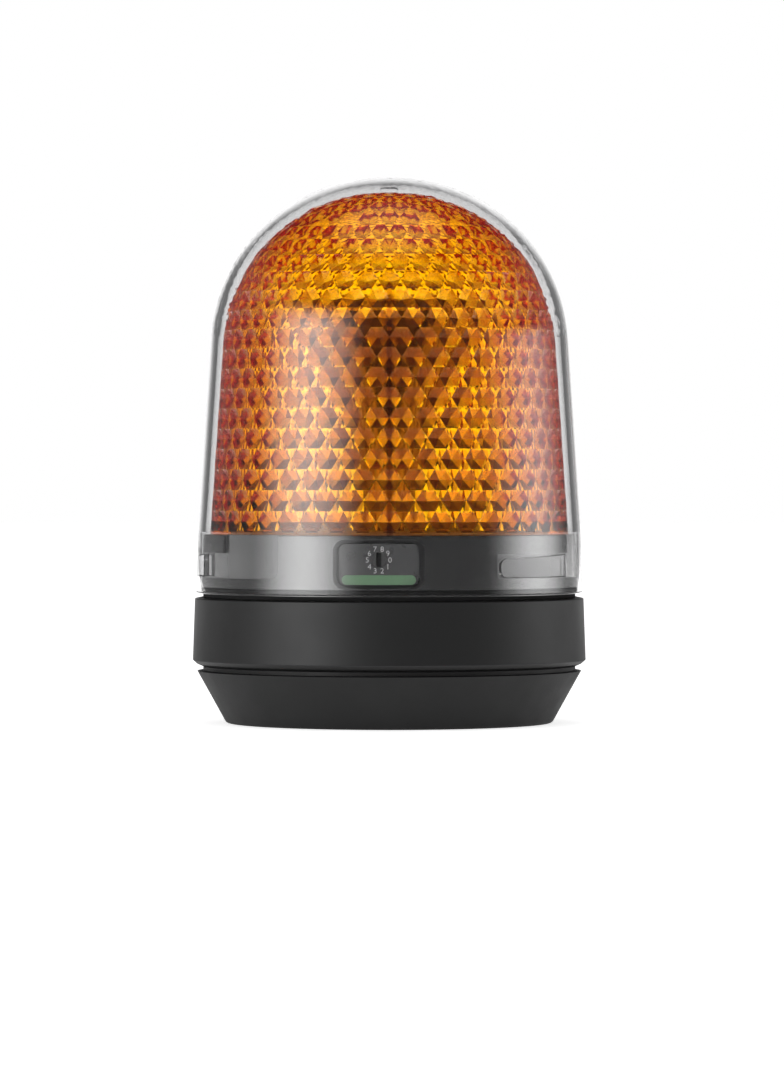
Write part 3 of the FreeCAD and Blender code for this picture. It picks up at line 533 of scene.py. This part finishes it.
def make_world():
    """Studio room with soft panels at both sides and a white backdrop, as each kind of ray sees it."""
    world = bpy.data.worlds.new("studio")
    scene.world = world
    world.use_nodes = True
    tree = world.node_tree
    x, y, rise = coordinates(tree, "Generated")
    turn = calc(tree, "ARCTAN2", x, times(tree, y, -1.0))
    path = tree.nodes.new("ShaderNodeLightPath").outputs
    from_camera = minus(tree, turn, camera_turn)
    back_turn = size_of(tree, from_camera)

    # Soft panels, which every ray sees
    panels = plus(tree, soft_box(tree, turn, rise, *left_panel), soft_box(tree, turn, rise, *right_panel))

    # Rays that come straight through the globe alone, or through the lens inside it as well
    direct = calc(tree, "LESS_THAN", path["Glossy Depth"], 0.5)
    deep = calc(tree, "GREATER_THAN", path["Transmission Depth"], 6.5)
    amber = calc(tree, "GREATER_THAN", path["Transmission Depth"], 4.5)

    # Even fill for surfaces that scatter light, and a dim room for the rest
    scattered = calc(tree, "GREATER_THAN", path["Diffuse Depth"], 0.5)
    sharp = minus(tree, 1.0, scattered)
    fill = plus(tree, fill_light, times(tree, fade(tree, rise, 0.5, 0.9), top_light))
    far_side = fade(tree, back_turn, math.radians(40), math.radians(110))
    low = fade(tree, rise, rise_of(45), rise_of(20))
    dim = plus(tree, room_front, times(tree, far_side, room_back - room_front))
    dim = times(tree, dim, plus(tree, room_high, times(tree, low, 1 - room_high)))
    dim = plus(tree, dim, times(tree, fade(tree, rise, 0.86, 0.99), room_top))
    overhead = times(tree, fade(tree, rise, 0.2, 0.6), lens_top)
    dim = plus(tree, dim, times(tree, amber, plus(tree, overhead, lens_room)))
    room = plus(tree, times(tree, scattered, fill), times(tree, sharp, dim))

    # The white backdrop, as gloss and glass show it: behind the object, and all round through the lens
    shown = times(tree, sharp, most(tree, path["Is Glossy Ray"], path["Is Transmission Ray"]))
    around = calc(tree, "PINGPONG", from_camera, math.radians(backdrop_repeat / 2))
    height = size_of(tree, rise)
    narrow = backdrop(tree, minus(tree, math.pi, back_turn), height, *gloss_backdrop)
    wide = backdrop(tree, around, height, *lens_backdrop)
    white_wall = times(tree, shown, most(tree, narrow, times(tree, direct, deep, wide)))

    # Straight to the eye, or through the clear globe alone, the background is plain white
    through = times(tree, sharp, times(tree, direct, path["Is Transmission Ray"]), minus(tree, 1.0, deep))
    white = most(tree, path["Is Camera Ray"], through)
    light = plus(tree, panels, room, white_wall)
    light = plus(tree, times(tree, light, minus(tree, 1.0, white)), white)
    background = tree.nodes["Background"]
    set_values(background, Color=(1, 1, 1, 1))
    tree.links.new(light, background.inputs["Strength"])


def make_floor():
    """White floor that keeps the object's shadow; gloss sees it darker in a band round the object."""
    mesh = bpy.data.meshes.new("floor")
    corners = [(-1, -1), (1, -1), (1, 1), (-1, 1)]
    mesh.from_pydata([(x * floor_span, y * floor_span, -floor_gap) for x, y in corners], [], [(0, 1, 2, 3)])
    floor = bpy.data.objects.new("floor", mesh)
    scene.collection.objects.link(floor)
    material, tree, shader = new_material("floor_white")
    set_values(shader, Roughness=0.9, Emission_Color=(1, 1, 1, 1))
    path = tree.nodes.new("ShaderNodeLightPath").outputs
    x, y = coordinates(tree)[:2]
    distance = length(tree, x, y)
    close = fade(tree, distance, *floor_close)
    bright = most(tree, fade(tree, distance, *floor_far), close)
    gloss = times(tree, bright, path["Is Glossy Ray"])
    between = minus(tree, path["Is Glossy Ray"], gloss)
    tree.links.new(ramp(tree, between, floor_white, floor_between, 0.0, 1.0), shader.inputs["Base Color"])
    gloss = minus(tree, gloss, times(tree, gloss, close, floor_close_dim))
    shown = most(tree, gloss, path["Is Transmission Ray"], path["Is Camera Ray"])
    tree.links.new(times(tree, shown, floor_glow), shader.inputs["Emission Strength"])
    mesh.materials.append(material)


make_world()
make_floor()

scene.view_settings.view_transform = "Standard"
scene.cycles.max_bounces = 24
scene.cycles.transmission_bounces = 24
scene.cycles.glossy_bounces = 12
scene.cycles.use_denoising = True
